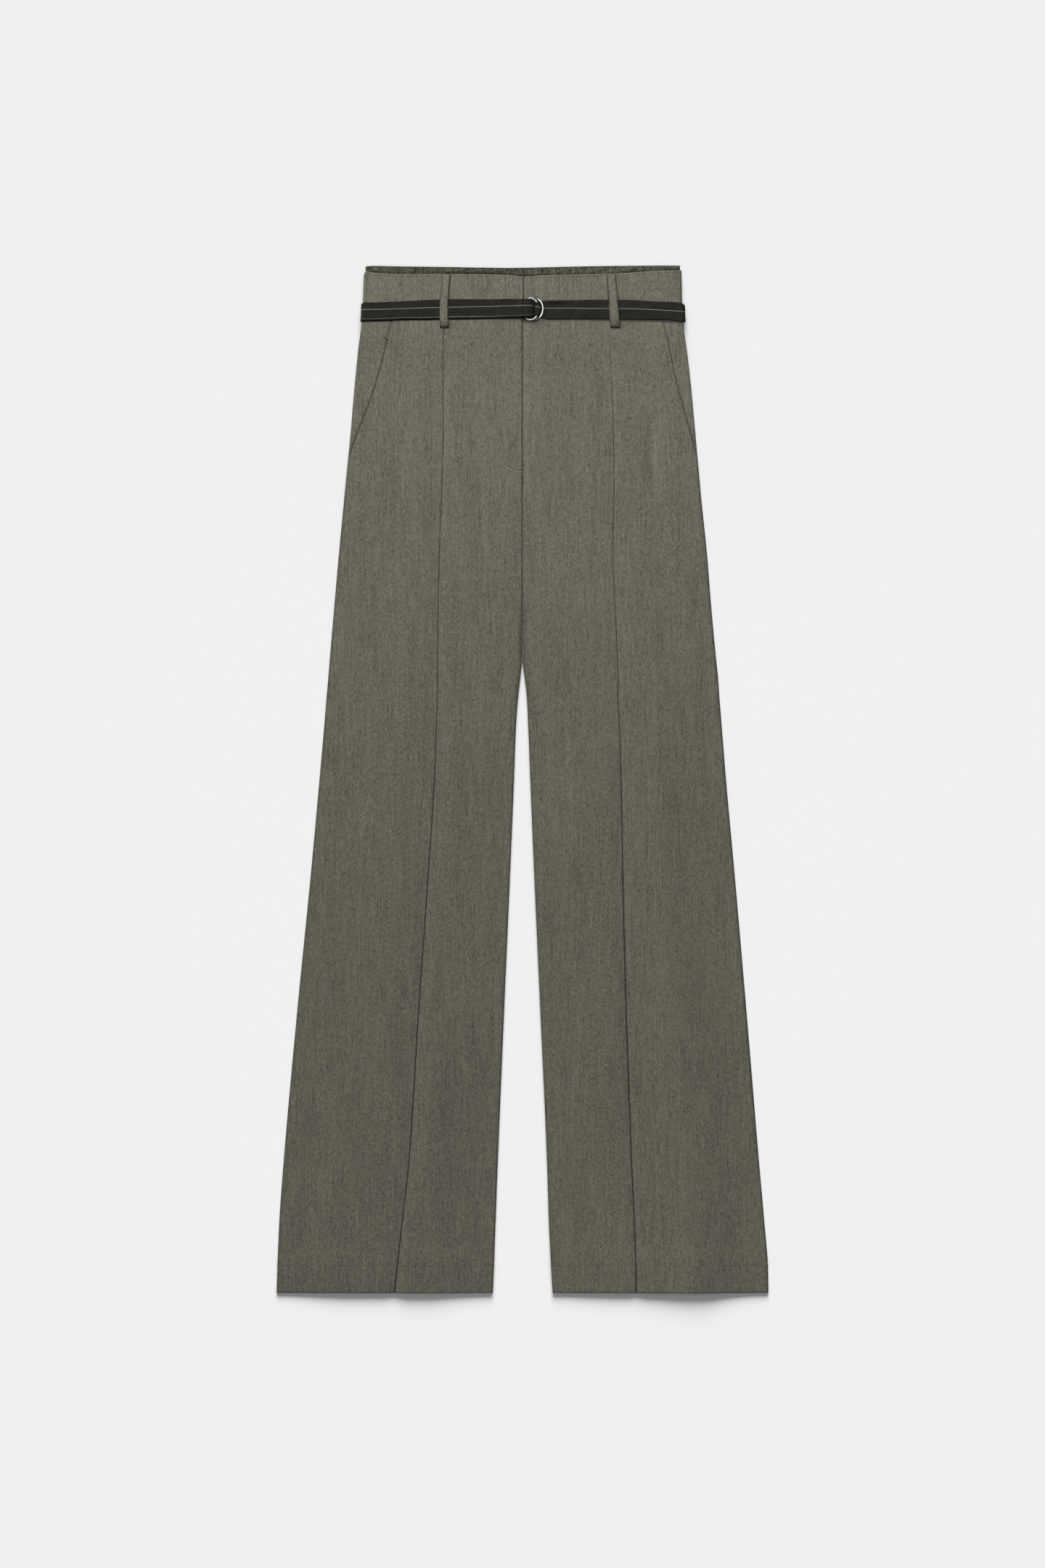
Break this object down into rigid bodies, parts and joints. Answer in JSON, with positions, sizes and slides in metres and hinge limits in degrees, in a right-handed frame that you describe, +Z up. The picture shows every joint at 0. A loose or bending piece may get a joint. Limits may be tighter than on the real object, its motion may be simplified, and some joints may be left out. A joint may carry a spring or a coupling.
{
  "type": "double waistband trousers",
  "caption": "Wide-leg high-waisted trousers laid flat, with a second waistband standing above the first and a cloth belt closed by wire D-rings.",
  "frame": {"origin": "under the middle of the laid garment's box, on the surface that it lies on", "axes": "+Y from the hems towards the waist, +X to the right seen from above, +Z up out of the front"},
  "size_m": [0.527, 1.1, 0.0165],
  "materials": {
    "trouser_cloth": "matt fine-woven suiting, grey-olive melange",
    "inner_band_cloth": "matt fine-woven, dark olive grey",
    "belt_cloth": "matt woven, charcoal with a fine light stripe",
    "ring_metal": "polished wire"
  },
  "bodies": {
    "root": {"back_left": "trouser_cloth", "back_right": "trouser_cloth", "front_centre_left": "trouser_cloth", "front_centre_right": "trouser_cloth", "front_side_left": "trouser_cloth", "front_side_right": "trouser_cloth", "pocket_bearer_left": "trouser_cloth", "pocket_bearer_right": "trouser_cloth", "outer_band_back": "trouser_cloth", "outer_band_front_left": "trouser_cloth", "outer_band_front_right": "trouser_cloth", "loop_front_left": "trouser_cloth", "loop_front_right": "trouser_cloth", "loop_back_left": "trouser_cloth", "loop_back_centre": "trouser_cloth", "loop_back_right": "trouser_cloth", "inner_band_back": "inner_band_cloth", "inner_band_front_left": "inner_band_cloth", "inner_band_front_right": "inner_band_cloth", "belt_left": "belt_cloth", "belt_right": "belt_cloth", "ring_lower": "ring_metal", "ring_upper": "ring_metal"}
  },
  "joints": []
}
